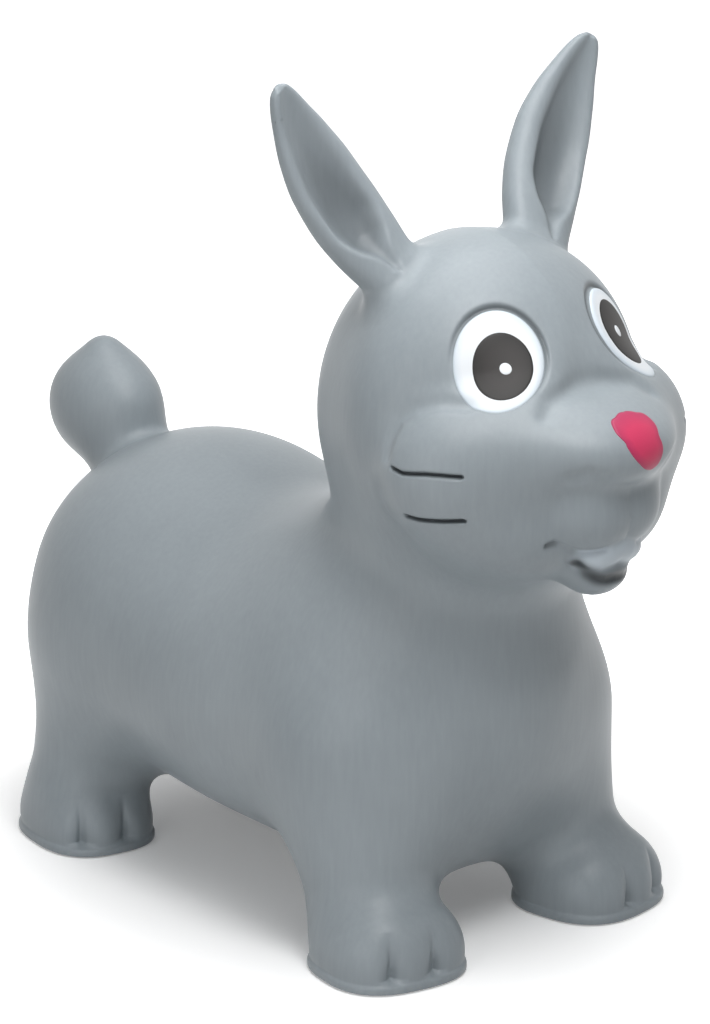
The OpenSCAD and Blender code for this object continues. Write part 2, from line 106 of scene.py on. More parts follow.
def nearLine(p, points):  # distance to a line through the points
    best = np.full(len(p), 1e9)
    for a, b in zip(points, points[1:]):
        a, b = np.array(a, float), np.array(b, float)
        t = np.clip((p - a) @ (b - a) / ((b - a) @ (b - a)), 0, 1)
        best = np.minimum(best, np.sqrt(((p - a - t[:, None] * (b - a)) ** 2).sum(1)))
    return best


def patchAxes(out, up):  # columns: across, upwards, outwards
    o, u = np.radians(out), np.radians(90 - up)
    turnZ = np.array([[np.cos(o), -np.sin(o), 0], [np.sin(o), np.cos(o), 0], [0, 0, 1]])
    turnX = np.array([[1, 0, 0], [0, np.cos(u), -np.sin(u)], [0, np.sin(u), np.cos(u)]])
    return turnZ @ turnX


# Torso: each form's middle and half sizes, and how far it runs into the one before
torso = {
    "rump": ((0, 112, 157), (116, 94, 99)),
    "belly": ((0, 0, 133), (121, 141, 101)),
    "chest": ((0, -110, 156), (99, 93, 125)),
    "neck": ((0, -163, 299), (70, 70, 70)),
    "blends": (60, 70, 60),
}
valve = {"radius": 10.2, "roof": 46, "corner": 1.2}  # the well in the belly that the valve fills


def torsoField(p):
    d = ellipsoid(p, *torso["rump"])
    for name, reach in zip(("belly", "chest", "neck"), torso["blends"]):
        d = melt(d, ellipsoid(p, *torso[name]), reach)
    well = np.maximum(np.hypot(p[:, 0], p[:, 1]) - valve["radius"], p[:, 2] - valve["roof"])
    return trim(d, -well, valve["corner"])


# Eye: the paint's place and sizes, the mound under it and the ring that is cut round the white
eye = {
    "at": (44.3, -215.4, 371.8), "out": 59, "up": 46.5, "white": (50, 62.6), "glint": 8,
    "pupil": {1: (38.5, 44), -1: (34.5, 42)}, "pupilAt": {1: (-1.4, 1.8), -1: (-2.9, -2.2)},
    "glintAt": {1: (-3.5, 4.5), -1: (-4.6, -2.4)},
    "coats": (0.45, 0.65, 0.85), "rings": (22, 14, 4), "spokes": (96, 96, 32),
    "domeShare": 1.35, "domeDepth": 16.7, "domeOut": 1.7, "domeBlend": 10,
    "ringDepth": 1.9, "ringWidth": 1.6, "ringUp": 1.0, "ringShare": 1.03,
    "ringFade": (0.45, 0.75), "ringLeast": 0.08, "ringBack": -26,
}


def eyeFrame(q):
    return (q - np.array(eye["at"], float)) @ patchAxes(eye["out"], eye["up"])


def eyeRing(q):  # distance from the edge of the white, and how strongly the ring is cut there
    w = eyeFrame(q)
    a, b = eye["white"][0] / 2, eye["white"][1] / 2
    k = np.sqrt((w[:, 0] / a) ** 2 + ((w[:, 1] - eye["ringUp"]) / b) ** 2)
    level, rise = eye["ringFade"]
    share = np.clip(level + rise * w[:, 1] / b, eye["ringLeast"], 1)
    return (k - eye["ringShare"]) * min(a, b), share * (w[:, 2] > eye["ringBack"])


# Whiskers: two grooves on each cheek, none nearer to the middle than "from"
whiskers = {
    "upper": ((0, -194, 321.1), (0, -202.2, 319.7), (0, -216.2, 321.2), (0, -223.1, 321.1),
              (0, -231, 320.3)),
    "lower": ((0, -201, 293.6), (0, -208.3, 292.8), (0, -219.7, 293), (0, -229.4, 293.6)),
    "width": 1.15, "depth": 3.2, "from": 60, "away": 50,
}


def whiskerLine(q, line):  # distance to a whisker's groove, seen from the side
    inner = q[:, 0] < whiskers["from"]
    return nearLine(q * (0, 1, 1), whiskers[line]) + whiskers["away"] * inner


# Folds, the soft valleys of the face: where each runs, its half width and its depth
folds = {
    "overCheek": (((107, -186, 327), (102, -184.6, 337.6), (97, -186.4, 347), (91, -193.5, 354),
                   (82, -206, 358), (72, -219, 357)), 4.2, 3.6),
    "overMuzzle": (((41, -251, 352), (33, -246.6, 358), (14.5, -243, 362), (0, -242, 363.5)),
                   5, 2.2),
    "underMuzzle": (((40, -271, 318), (33, -277, 321), (24, -281, 318)), 5, 2.4),
    "mouthCorner": (((42.5, -253, 276), (39.5, -255.5, 277)), 1.8, 1.8),
    "lipLine": (((37.8, -256.3, 277.2), (32.7, -259.2, 273.2), (25.5, -261.6, 270.5),
                 (18.8, -266.2, 270), (12.5, -269.6, 271.3)), 2.4, 1.0),
    "underLip": (((25.2, -260, 261.5), (18.5, -262.5, 254.8), (13, -265.5, 251.6),
                  (8, -267.5, 250.6), (0, -268.2, 251.5)), 2.6, 3.8),
}


def foldDepth(q):
    d = 0
    for line, width, depth in folds.values():
        d = d + depth * bell(nearLine(q, line), width)
    return d


def grooveDepth(q):
    ring, share = eyeRing(q)
    d = eye["ringDepth"] * bell(ring, eye["ringWidth"]) * share
    for line in ("upper", "lower"):
        d = d + whiskers["depth"] * bell(whiskerLine(q, line), whiskers["width"])
    return d


# Head: each form's middle and half sizes, the line of the lower lip from its corner to the
# middle, and the keel (height, width, where it starts, and over what height it rises)
head = {
    "skull": ((0, -148, 326), (92, 97, 107)),
    "brow": ((0, -161, 336), (99, 52, 86)), "browBlend": 25,
    "cheek": ((47.5, -197, 314), (61, 48.5, 51.5)),
    "muzzle": ((0, -245, 328), (48.5, 46, 27)),
    "jowl": ((24, -208, 277), (48, 48.5, 34)),
    "lip": ((8, -256, 291), (29, 23, 25)),
    "jaw": ((0, -247, 255), (21, 21.5, 18)),
    "mouth": ((37, -248, 277), (30, -251, 271), (24, -255, 267), (18, -260, 265.5),
              (12, -263.5, 266.5), (6, -265.5, 268.5), (0, -266, 270)),
    "mouthRadius": (8, 3), "mouthBlend": 3,
    "keel": (1.3, 13, 370, 40),
    "muzzleBlend": 44, "jowlBlend": 26, "lipBlend": 11, "jawBlend": 13, "faceBlend": 9,
    "neckBlend": 22,
}


def headField(q):
    face = melt(ellipsoid(q, *head["cheek"]), ellipsoid(q, *head["muzzle"]), head["muzzleBlend"])
    face = melt(face, ellipsoid(q, *head["jowl"]), head["jowlBlend"])
    face = melt(face, ellipsoid(q, *head["lip"]), head["lipBlend"])
    d = melt(ellipsoid(q, *head["skull"]), ellipsoid(q, *head["brow"]), head["browBlend"])
    d = melt(d, face, head["faceBlend"])
    d = melt(d, ellipsoid(q, *head["jaw"]), head["jawBlend"])
    thick, thin = head["mouthRadius"]
    toCorner = np.clip(q[:, 0] / head["mouth"][0][0], 0, 1)
    lowerLip = nearLine(q, head["mouth"]) - thick + (thick - thin) * toCorner ** 2
    d = melt(d, lowerLip, head["mouthBlend"])
    high, wide, start, rise = head["keel"]  # the mould parts along the middle of the forehead
    d = d - high * np.exp(-q[:, 0] / wide) * np.clip((q[:, 2] - start) / rise, 0, 1)
    a, b = (side / 2 * eye["domeShare"] for side in eye["white"])
    domeAt = (0, 0, eye["domeOut"] - eye["domeDepth"])
    d = melt(d, ellipsoid(eyeFrame(q), domeAt, (a, b, eye["domeDepth"])), eye["domeBlend"])
    return d + foldDepth(q) + grooveDepth(q)


# Ear: its section at shares of the way from root to tip, and the spoon-shaped hollow in its front
ear = {
    "root": (59, -134, 420), "tip": (122.5, -112.5, 530), "turn": -14.5, "corner": 2.6,
    "sweep": -9.6,
    "along": (-0.10, 0.00, 0.15, 0.32, 0.50, 0.68, 0.82, 0.92, 0.975, 1.00),
    "halfWidth": (20.5, 21.5, 24.8, 26.8, 26.0, 21.6, 15.6, 10.8, 6.8, 2.8),
    "halfThickness": (14, 13, 12.5, 11.5, 10, 8, 6.5, 5.2, 4, 2),
    "bow": (0, 0, 0.7, 1.2, 1.5, 1.3, 0.9, 0.4, 0.1, 0),
    "hollowAlong": (-0.02, 0.08, 0.18, 0.29, 0.45, 0.65, 0.82, 0.92, 0.975),
    "hollowHalfWidth": (0.1, 4, 12.5, 16.8, 17, 13.5, 8.8, 4.2, 0.1),
    "hollowOut": (4, 4, 4, 4, 4, 3, 2, 1, 0),
    "hollowDepth": (0.1, 5, 13, 14.5, 12, 8.6, 5.8, 3, 0.1),
    "hollowBlend": 5, "headBlend": 12,
}


def earAxes():  # the root, the ways across, forwards and along, and the length
    root = np.array(ear["root"], float)
    along = np.array(ear["tip"], float) - root
    length = np.linalg.norm(along)
    along = along / length
    a = np.radians(ear["turn"])
    front = np.array([np.sin(a), -np.cos(a), 0.0])
    front -= (front @ along) * along
    front /= np.linalg.norm(front)
    across = np.cross(along, front)
    return root, across * np.sign(across[0]), front, along, length


def earForms(q):  # the ear without its hollow, and the hollow
    root, across, front, along, length = earAxes()
    w = q - root
    u = (w @ along) / length
    arch = 4 * np.clip(u, 0, 1) * (1 - np.clip(u, 0, 1))
    x = w @ across + smoothCurve(u, ear["along"], ear["bow"])
    y = w @ front - ear["sweep"] * arch
    a = smoothCurve(u, ear["along"], ear["halfWidth"])
    b = smoothCurve(u, ear["along"], ear["halfThickness"])
    e = ear["corner"]
    body = ((np.abs(x / a) ** e + np.abs(y / b) ** e) ** (1 / e) - 1) * np.minimum(a, b)
    past = np.maximum(u - 1, ear["along"][0] - u) * length
    body = np.where(past > 0, np.sqrt(np.maximum(body, 0) ** 2 + past ** 2), body)
    ha = smoothCurve(u, ear["hollowAlong"], ear["hollowHalfWidth"])
    hb = smoothCurve(u, ear["hollowAlong"], ear["hollowDepth"])
    out = smoothCurve(u, ear["hollowAlong"], ear["hollowOut"])
    hollow = (np.sqrt(((x - out) / ha) ** 2 + ((y - b) / hb) ** 2) - 1) * np.minimum(ha, hb)
    return body, hollow


def earField(q):
    body, hollow = earForms(q)
    return trim(body, -hollow, ear["hollowBlend"])


# Tail: a ball drawn to a point above, on a short stem out of the rump
tail = {
    "ball": ((0, 209, 254), (33, 44, 38)), "point": (0, 211, 291), "pointRadii": (18, 6),
    "stem": (0, 184, 226), "stemRadii": (25, 28), "pointBlend": 22, "stemBlend": 10,
    "rumpBlend": 10,
}


def tailField(p):
    ball = tail["ball"][0]
    d = ellipsoid(p, *tail["ball"])
    d = melt(d, roundCone(p, ball, tail["point"], *tail["pointRadii"]), tail["pointBlend"])
    return melt(d, roundCone(p, ball, tail["stem"], *tail["stemRadii"]), tail["stemBlend"])


# Legs: thigh and ankle are balls with one skin drawn over them, and the paw stands on a flat sole
frontLeg = {
    "thigh": ((61, -117, 119), 58), "ankle": ((79, -139, 43), 36),
    "paw": ((83, -163), (44, 42, 38)), "turn": 10, "toeTurn": 17,
}
rearLeg = {
    "thigh": ((57, 122, 117), 52), "ankle": ((79, 135, 43), 34),
    "paw": ((83, 130), (38, 46, 38)), "turn": 10, "toeTurn": 22,
}
paw = {
    "middle": 12, "corner": 2.6, "steepness": 0.95, "legBlend": 16, "torsoBlend": 34,
    "soleHeight": 5.4, "soleRim": 1.0, "soleEdge": 2, "soleBlend": 2, "floorEdge": 1.5,
    "grooveAcross": 14, "grooveWidth": 2.1, "grooveDepth": 2.2, "toeRound": 4.0, "toeSpread": 3.2,
    "grooveBack": (14, 14), "grooveFoot": (5.5, 3), "grooveTop": (36, 24),
}


def toeGroove(q, leg):  # distance from a groove between two toes, in its widths, and its share
    (px, py), z = leg["paw"][0], q[:, 2]
    x, y = turned(q[:, 0] - px, q[:, 1] - py, leg["toeTurn"])
    g = np.abs(np.abs(x) - paw["grooveAcross"]) / paw["grooveWidth"]
    (back, backFade), (foot, footFade) = paw["grooveBack"], paw["grooveFoot"]
    top, topFade = paw["grooveTop"]
    share = np.clip((-y - back) / backFade, 0, 1) * np.clip((z - foot) / footFade, 0, 1)
    return g, share * np.clip((top - z) / topFade, 0, 1)


def legField(q, leg):
    (px, py), (rx, ry, rz) = leg["paw"]
    thigh, ankle = leg["thigh"], leg["ankle"]
    d = roundCone(q, thigh[0], ankle[0], thigh[1], ankle[1])
    x, y = turned(q[:, 0] - px, q[:, 1] - py, leg["turn"])
    z = q[:, 2]
    e = paw["corner"]
    flat = (np.abs(x / rx) ** e + np.abs(y / ry) ** e) ** (1 / e)
    foot = np.sqrt(flat ** 2 + ((z - paw["middle"]) / rz) ** 2) - 1
    foot = foot * min(rx, ry, rz) * paw["steepness"]
    half = paw["soleHeight"] / 2
    rim = (flat - 1) * min(rx, ry) - paw["soleRim"]
    sole = trim(rim, np.abs(z - half) - half, paw["soleEdge"])
    foot = melt(foot, sole, paw["soleBlend"])
    g, share = toeGroove(q, leg)
    cut = paw["grooveDepth"] * bell(g, 1) + paw["toeRound"] * bell(g, paw["toeSpread"])
    foot = foot + cut * share
    return trim(melt(d, foot, paw["legBlend"]), -z, paw["floorEdge"])


# Each region of the skin, where it is worked out, and how far it runs into the torso
regions = {
    "head": (headField, lambda q: (q[:, 1] < -20) & (q[:, 2] > 190), head["neckBlend"]),
    "ear": (earField, lambda q: q[:, 2] > 375, ear["headBlend"]),
    "tail": (tailField, lambda q: (q[:, 1] > 120) & (q[:, 2] > 150), tail["rumpBlend"]),
    "front_leg": (lambda q: legField(q, frontLeg), lambda q: (q[:, 1] < 10) & (q[:, 2] < 240),
                  paw["torsoBlend"]),
    "rear_leg": (lambda q: legField(q, rearLeg), lambda q: (q[:, 1] > 0) & (q[:, 2] < 240),
                 paw["torsoBlend"]),
}


def regionFields(p):
    q = mirrored(p)
    fields = {"torso": torsoField(q)}
    for name, (field, where, blend) in regions.items():
        far = np.full(len(q), farAway)
        close = where(q)
        far[close] = field(q[close])
        fields[name] = far
    return fields


def skinField(p):
    fields = regionFields(p)
    d = fields["torso"]
    for name, (field, where, blend) in regions.items():
        d = melt(d, fields[name], blend)
    return d


def slopeOf(p, step=0.25):  # the field's value and its gradient
    corners = np.array([(1, 1, 1), (1, -1, -1), (-1, 1, -1), (-1, -1, 1)], float)
    values = np.stack([skinField(p + step * c) for c in corners], 1)
    return values.mean(1), values @ corners / (4 * step)


def onSkin(p, rounds=3, flattest=0.04, longest=4):  # moves points onto the skin, with its normals
    for turn in range(rounds):
        value, slope = slopeOf(p)
        size = np.maximum((slope ** 2).sum(1), flattest)
        move = np.clip(value / size, -longest, longest)
        p = p - slope * move[:, None]
    value, slope = slopeOf(p)
    return p, slope / np.linalg.norm(slope, axis=1)[:, None]


# The skin's net: its cubes, how fine it gets in all, and the longest edge that each place allows
netting = {
    "low": (-135.0, -300.0, -6.0), "high": (135.0, 262.0, 546.0), "cell": 5.0, "least": 0.8,
    "quick": (1.4, 2), "passes": 4, "bend": 11.0, "longEdge": 1.35, "bentEdge": 1.8,
    "edge": {"skin": 6.5, "face": 4.0, "ears": 3.6, "paws": 4.0, "soles": 1.9, "whiskers": 0.7,
             "eyeRing": 1.1, "mouth": 1.6, "valve": 1.3, "toes": 1.3},
    "near": {"whiskers": 3.2, "eyeRing": 5, "valve": 3, "toes": 2.5},
    "face": (-150, 225, 420), "mouth": (48, -245, 245, 284),
    "earsFrom": 425, "pawsTo": 60, "solesTo": 11, "valveTo": 50,
}


def cubeNet(cell):  # cubes that the skin crosses get a point, edges that it crosses get a square
    low, high = np.array(netting["low"]), np.array(netting["high"])
    half = np.arange(0, high[0] + cell, cell)
    xs = np.concatenate([-half[:0:-1], half])
    ys, zs = np.arange(low[1], high[1], cell), np.arange(low[2], high[2], cell)
    grid = np.stack(np.meshgrid(half, ys, zs, indexing="ij"), -1).reshape(-1, 3)
    values = skinField(grid).reshape(len(half), len(ys), len(zs))
    values = np.concatenate([values[:0:-1], values])
    inside = values < 0
    shape = np.array(values.shape) - 1
    total, count = np.zeros((*shape, 3)), np.zeros(shape)
    corners = [(i, j, k) for i in (0, 1) for j in (0, 1) for k in (0, 1)]

    def corner(array, c):
        return array[c[0]:c[0] + shape[0], c[1]:c[1] + shape[1], c[2]:c[2] + shape[2]]

    for a in corners:
        for b in corners:
            if sum(b) == sum(a) + 1 and all(m >= n for m, n in zip(b, a)):
                va, vb = corner(values, a), corner(values, b)
                crossed = corner(inside, a) != corner(inside, b)
                t = np.where(crossed, va / np.where(crossed, va - vb, 1), 0)
                place = np.array(a) + t[..., None] * (np.array(b) - np.array(a))
                total += np.where(crossed[..., None], place, 0)
                count += crossed
    used = count > 0
    number = np.full(shape, -1)
    number[used] = np.arange(used.sum())
    at = np.argwhere(used) + total[used] / count[used][:, None]
    points = np.stack([xs[0] + at[:, 0] * cell, ys[0] + at[:, 1] * cell, zs[0] + at[:, 2] * cell],
                      1)
    squares = []
    for axis in range(3):
        u, v = (axis + 1) % 3, (axis + 2) % 3
        first = [slice(1, -1)] * 3
        first[axis] = slice(0, -1)
        second = list(first)
        second[axis] = slice(1, None)
        a, b = inside[tuple(first)], inside[tuple(second)]
        for enters in (False, True):
            cells = np.argwhere((a != b) & (a == enters))
            cells[:, u] += 1
            cells[:, v] += 1
            around = []
            for du, dv in ((0, 0), (1, 0), (1, 1), (0, 1)):
                c = cells.copy()
                c[:, u] -= du
                c[:, v] -= dv
                around.append(number[c[:, 0], c[:, 1], c[:, 2]])
            around = np.stack(around, 1)
            squares.append(around if enters else around[:, ::-1])
    squares = np.concatenate(squares)
    return points, np.concatenate([squares[:, [0, 1, 2]], squares[:, [0, 2, 3]]])


def splitEdges(points, faces, chosen):  # halves the chosen edges, with no open joints
    ends = np.stack([faces[:, [0, 1]], faces[:, [1, 2]], faces[:, [2, 0]]], 1).reshape(-1, 2)
    ends.sort(axis=1)
    key, where = np.unique(ends[:, 0] * len(points) + ends[:, 1], return_inverse=True)
    pair = np.stack([key // len(points), key % len(points)], 1)
    split = chosen(pair)
    number = np.full(len(key), -1)
    number[split] = len(points) + np.arange(split.sum())
    points = np.concatenate([points, points[pair[split]].mean(1)])
    middle = number[where].reshape(-1, 3)
    count = (middle >= 0).sum(1)
    made = [faces[count == 0]]
    f, m = faces[count == 3], middle[count == 3]
    made += [np.stack(t, 1) for t in ((f[:, 0], m[:, 0], m[:, 2]), (m[:, 0], f[:, 1], m[:, 1]),
                                      (m[:, 2], m[:, 1], f[:, 2]), (m[:, 0], m[:, 1], m[:, 2]))]
    f, m = faces[count == 1], middle[count == 1]
    turn = (np.arange(3) + (m >= 0).argmax(1)[:, None]) % 3
    f, m = np.take_along_axis(f, turn, 1), np.take_along_axis(m, turn, 1)
    made += [np.stack(t, 1) for t in ((f[:, 0], m[:, 0], f[:, 2]), (m[:, 0], f[:, 1], f[:, 2]))]
    f, m = faces[count == 2], middle[count == 2]
    turn = (np.arange(3) + (m < 0).argmax(1)[:, None] + 1) % 3
    f, m = np.take_along_axis(f, turn, 1), np.take_along_axis(m, turn, 1)
    made += [np.stack(t, 1) for t in ((m[:, 0], f[:, 1], m[:, 1]), (f[:, 0], m[:, 0], m[:, 1]),
                                      (f[:, 0], m[:, 1], f[:, 2]))]
    return points, np.concatenate(made)


def wantedEdge(p):  # the longest edge that the skin's detail allows at each point
    q = mirrored(p)
    edge, near = netting["edge"], netting["near"]
    size = np.full(len(q), edge["skin"])
    ahead, low, high = netting["face"]
    face = (q[:, 1] < ahead) & (q[:, 2] > low) & (q[:, 2] < high)
    size[face] = edge["face"]
    size[q[:, 2] > netting["earsFrom"]] = edge["ears"]
    size[q[:, 2] < netting["pawsTo"]] = edge["paws"]
    size[q[:, 2] < netting["solesTo"]] = edge["soles"]
    for line in ("upper", "lower"):
        close = np.zeros(len(q), bool)
        close[face] = whiskerLine(q[face], line) < near["whiskers"]
        size[close] = edge["whiskers"]
    ring, share = eyeRing(q)
    size[(np.abs(ring) < near["eyeRing"]) & (share > 0) & face] = edge["eyeRing"]
    half, ahead, low, high = netting["mouth"]
    mouth = face & (q[:, 0] < half) & (q[:, 1] < ahead) & (q[:, 2] > low) & (q[:, 2] < high)
    size[mouth] = edge["mouth"]
    fromWell = np.abs(np.hypot(q[:, 0], q[:, 1]) - valve["radius"])
    size[(fromWell < near["valve"]) & (q[:, 2] < netting["valveTo"])] = edge["valve"]
    for leg in (frontLeg, rearLeg):
        g, share = toeGroove(q, leg)
        sameEnd = np.sign(leg["paw"][0][1]) == np.sign(q[:, 1])
        size[(g < near["toes"]) & (share > 0) & sameEnd] = edge["toes"]
    return size


def relaxed(points, faces, normals, amount=0.5):  # evens out the net along the skin
    total = np.zeros_like(points)
    count = np.zeros(len(points))
    for a, b in ((0, 1), (1, 2), (2, 0)):
        for s, e in ((a, b), (b, a)):
            for axis in range(3):
                total[:, axis] += np.bincount(faces[:, s], points[faces[:, e], axis], len(points))
            count += np.bincount(faces[:, s], minlength=len(points))
    move = total / count[:, None] - points
    move -= (move * normals).sum(1)[:, None] * normals
    return points + amount * move


def mouldedNet():
    coarser, longer = ((1, 1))
    points, faces = cubeNet(netting["cell"] * coarser)
    points, normals = onSkin(points, 4)
    for turn in range(2):
        points, normals = onSkin(relaxed(points, faces, normals), 2)
    least = netting["least"] * longer
    for turn in range(netting["passes"]):
        def chosen(pair):  # edges that are too long for their place, or bend too far
            a, b = points[pair[:, 0]], points[pair[:, 1]]
            length = np.linalg.norm(a - b, axis=1)
            cosine = (normals[pair[:, 0]] * normals[pair[:, 1]]).sum(1)
            bend = np.degrees(np.arccos(np.clip(cosine, -1, 1)))
            limit = np.maximum(wantedEdge((a + b) / 2), least)
            bent = (bend > netting["bend"]) & (length > netting["bentEdge"] * least)
            return (length > netting["longEdge"] * limit) | bent
        points, faces = splitEdges(points, faces, chosen)
        points, normals = onSkin(points, 2)
        points, normals = onSkin(relaxed(points, faces, normals, 0.4), 2)
    print("net of the skin:", len(points), "points,", len(faces), "faces")
    return points, faces, normals


skinPoints, skinFaces, skinNormals = mouldedNet()


# The net is parted along the creases into the regions that the skin is moulded in

def regionOf(points, faces):
    middle = points[faces].mean(1)
    fields = regionFields(middle)
    names = list(fields)
    number = np.stack([fields[name] for name in names], 1).argmin(1)
    left = middle[:, 0] > 0
    return names, number, left


def boundaryLoops(part):
    edges = np.concatenate([part[:, [0, 1]], part[:, [1, 2]], part[:, [2, 0]]])
    key = edges.min(1).astype(np.int64) * (part.max() + 1) + edges.max(1)
    _, first, count = np.unique(key, return_index=True, return_counts=True)
    follow = {}
    for a, b in edges[first[count == 1]]:
        follow.setdefault(int(a), []).append(int(b))
    loops = []
    while follow:
        start = next(iter(follow))
        loop = [start]
        while True:
            ways = follow[loop[-1]]
            step = ways.pop()
            if not ways:
                del follow[loop[-1]]
            if step == start:
                break
            loop.append(step)
        loops.append(loop)
    return loops


def placed(p):  # from the skin's millimetres to the frame's metres
    return (np.asarray(p) + np.array((0, saddleBack, 0))) * mm


def addPiece(name, verts, polys, material, normals=None, **layers):
    mesh = bpy.data.meshes.new(name)
    mesh.from_pydata([tuple(v) for v in verts], [], [tuple(int(i) for i in f) for f in polys])
    mesh.polygons.foreach_set("use_smooth", [True] * len(mesh.polygons))
    mesh.validate()
    if normals is not None:
        mesh.normals_split_custom_set_from_vertices([tuple(n) for n in normals])
    for layer, values in layers.items():
        data = mesh.attributes.new(layer, "FLOAT", "POINT").data
        data.foreach_set("value", np.asarray(values, np.float32))
    mesh.materials.append(material)
    piece = bpy.data.objects.new(name, mesh)
    bpy.context.scene.collection.objects.link(piece)
    return piece


# Materials

def linear(code):
    srgb = [int(code[i:i + 2], 16) / 255 for i in (1, 3, 5)]
    return [c / 12.92 if c <= 0.04045 else ((c + 0.055) / 1.055) ** 2.4 for c in srgb] + [1.0]


def addNode(tree, kind, inputs=None, **settings):
    node = tree.nodes.new(kind)
    for name, value in settings.items():
        setattr(node, name, value)
    for name, value in (inputs or {}).items():
        if isinstance(value, bpy.types.NodeSocket):
            tree.links.new(value, node.inputs[name])
        else:
            node.inputs[name].default_value = value
    return node


def newMaterial(name):
    material = bpy.data.materials.new(name)
    material.use_nodes = True
    material.node_tree.nodes.clear()
    return material, material.node_tree


# Soft PVC, rotationally moulded: an even satin grey with clouds from the paste and fine upright
# streaks, painted shade in the grooves, creases and ear hollows, and a painted highlight on the
# lower lip. Clouds are about 110 mm wide, streaks 3 mm by 30 mm, and the skin's grain 1.1 mm.
softPvc = {
    # The pale grey is a painted highlight for the lower lip, and the dark grey below it a painted
    # shade
    "dark": "#858d92", "light": "#949ca1", "span": (0.4, 0.9), "polished": "#b9c3cb",
    "groove": "#33383b", "clouds": 9.0, "streaks": 330.0, "streakRise": 0.1, "streakShare": 0.3,
    "grain": 900.0, "grainShare": 0.08, "grainDepth": 0.0003,
    "roughness": 0.4, "ior": 1.53, "specular": 0.27,
}


def mouldedPvc():
    material, tree = newMaterial("soft PVC, rotationally moulded")
    place = addNode(tree, "ShaderNodeTexCoord").outputs["Object"]
    clouds = addNode(tree, "ShaderNodeTexNoise",
                     {"Vector": place, "Scale": softPvc["clouds"], "Detail": 3.0})
    drawn = addNode(tree, "ShaderNodeMapping",
                    {"Vector": place, "Scale": (1, 1, softPvc["streakRise"])})
    streaks = addNode(tree, "ShaderNodeTexNoise", {
        "Vector": drawn.outputs["Vector"], "Scale": softPvc["streaks"], "Detail": 2.0})
    mottle = addNode(tree, "ShaderNodeMath", {
        0: streaks.outputs["Fac"], 1: softPvc["streakShare"], 2: clouds.outputs["Fac"]},
        operation="MULTIPLY_ADD")
    ramp = addNode(tree, "ShaderNodeValToRGB", {"Fac": mottle.outputs[0]})
    for stop, at, code in zip(ramp.color_ramp.elements, softPvc["span"], ("dark", "light")):
        stop.position = at
        stop.color = linear(softPvc[code])
    # Painted highlight: the colour is drawn towards pale grey on the lower lip
    polish = addNode(tree, "ShaderNodeAttribute", attribute_name="polish")
    highlighted = addNode(tree, "ShaderNodeMix", {
        "Factor": polish.outputs["Fac"], 6: ramp.outputs["Color"], 7: linear(softPvc["polished"])},
        data_type="RGBA")
    # Painted shade: the colour is drawn towards dark grey where the tone is high
    groove = addNode(tree, "ShaderNodeAttribute", attribute_name="groove")
    shaded = addNode(tree, "ShaderNodeMix", {
        "Factor": groove.outputs["Fac"], 6: highlighted.outputs[2], 7: linear(softPvc["groove"])},
        data_type="RGBA")
    grain = addNode(tree, "ShaderNodeTexNoise",
                    {"Vector": place, "Scale": softPvc["grain"], "Detail": 2.0})
    bump = addNode(tree, "ShaderNodeBump", {
        "Height": grain.outputs["Fac"], "Strength": softPvc["grainShare"],
        "Distance": softPvc["grainDepth"]})
    shader = addNode(tree, "ShaderNodeBsdfPrincipled", {
        "Base Color": shaded.outputs[2], "Normal": bump.outputs["Normal"],
        "Roughness": softPvc["roughness"], "IOR": softPvc["ior"],
        "Specular IOR Level": softPvc["specular"]})
    addNode(tree, "ShaderNodeOutputMaterial", {"Surface": shader.outputs[0]})
    return material


# Vinyl paint, sprayed through a mask; its mist leaves specks of about 0.7 mm. Each patch's colour
# darkens towards its edge as painted shade, and the pupil's paler middle is a painted sheen.
# Colours of the middle and the edge, where the edge starts to show, and roughness.
paints = {
    "white": ("vinyl paint, sprayed white", "#dde1e5", "#c8d3dc", 0.8, 0.45),
    "pupil": ("vinyl paint, sprayed dark brown", "#201d1c", "#141211", 0.5, 0.5),
    "nose": ("vinyl paint, sprayed raspberry", "#c2375c", "#a42d55", 0.6, 0.38),
}
paintMist = {"scale": 1400.0, "share": 0.06, "depth": 0.0002, "specular": 0.3}


def sprayedPaint(name, middle, edge, start, roughness):
    material, tree = newMaterial(name)
    # Painted shade: the colour darkens from the patch's middle to its edge
    share = addNode(tree, "ShaderNodeAttribute", attribute_name="share")
    ramp = addNode(tree, "ShaderNodeValToRGB", {"Fac": share.outputs["Fac"]})
    ramp.color_ramp.elements[0].position = start
    ramp.color_ramp.elements[0].color = linear(middle)
    ramp.color_ramp.elements[1].color = linear(edge)
    place = addNode(tree, "ShaderNodeTexCoord").outputs["Object"]
    mist = addNode(tree, "ShaderNodeTexNoise", {"Vector": place, "Scale": paintMist["scale"]})
    bump = addNode(tree, "ShaderNodeBump", {
        "Height": mist.outputs["Fac"], "Strength": paintMist["share"],
        "Distance": paintMist["depth"]})
    shader = addNode(tree, "ShaderNodeBsdfPrincipled", {
        "Base Color": ramp.outputs["Color"], "Normal": bump.outputs["Normal"],
        "Roughness": roughness, "Specular IOR Level": paintMist["specular"]})
    addNode(tree, "ShaderNodeOutputMaterial", {"Surface": shader.outputs[0]})
    return material


# Flexible PVC, injection moulded: a slightly paler, glossier ring than the skin.
# Polyethylene, injection moulded: milky and waxy. Both show fine turning marks of the mould.
valveFinishes = {
    "valve_seat": ("flexible PVC, injection moulded", "#a3abaf", 0.4, 260),
    "valve_plug": ("polyethylene, injection moulded", "#dedcd2", 0.35, 420),
}
turningMarks = {"share": 0.15, "depth": 0.0002}


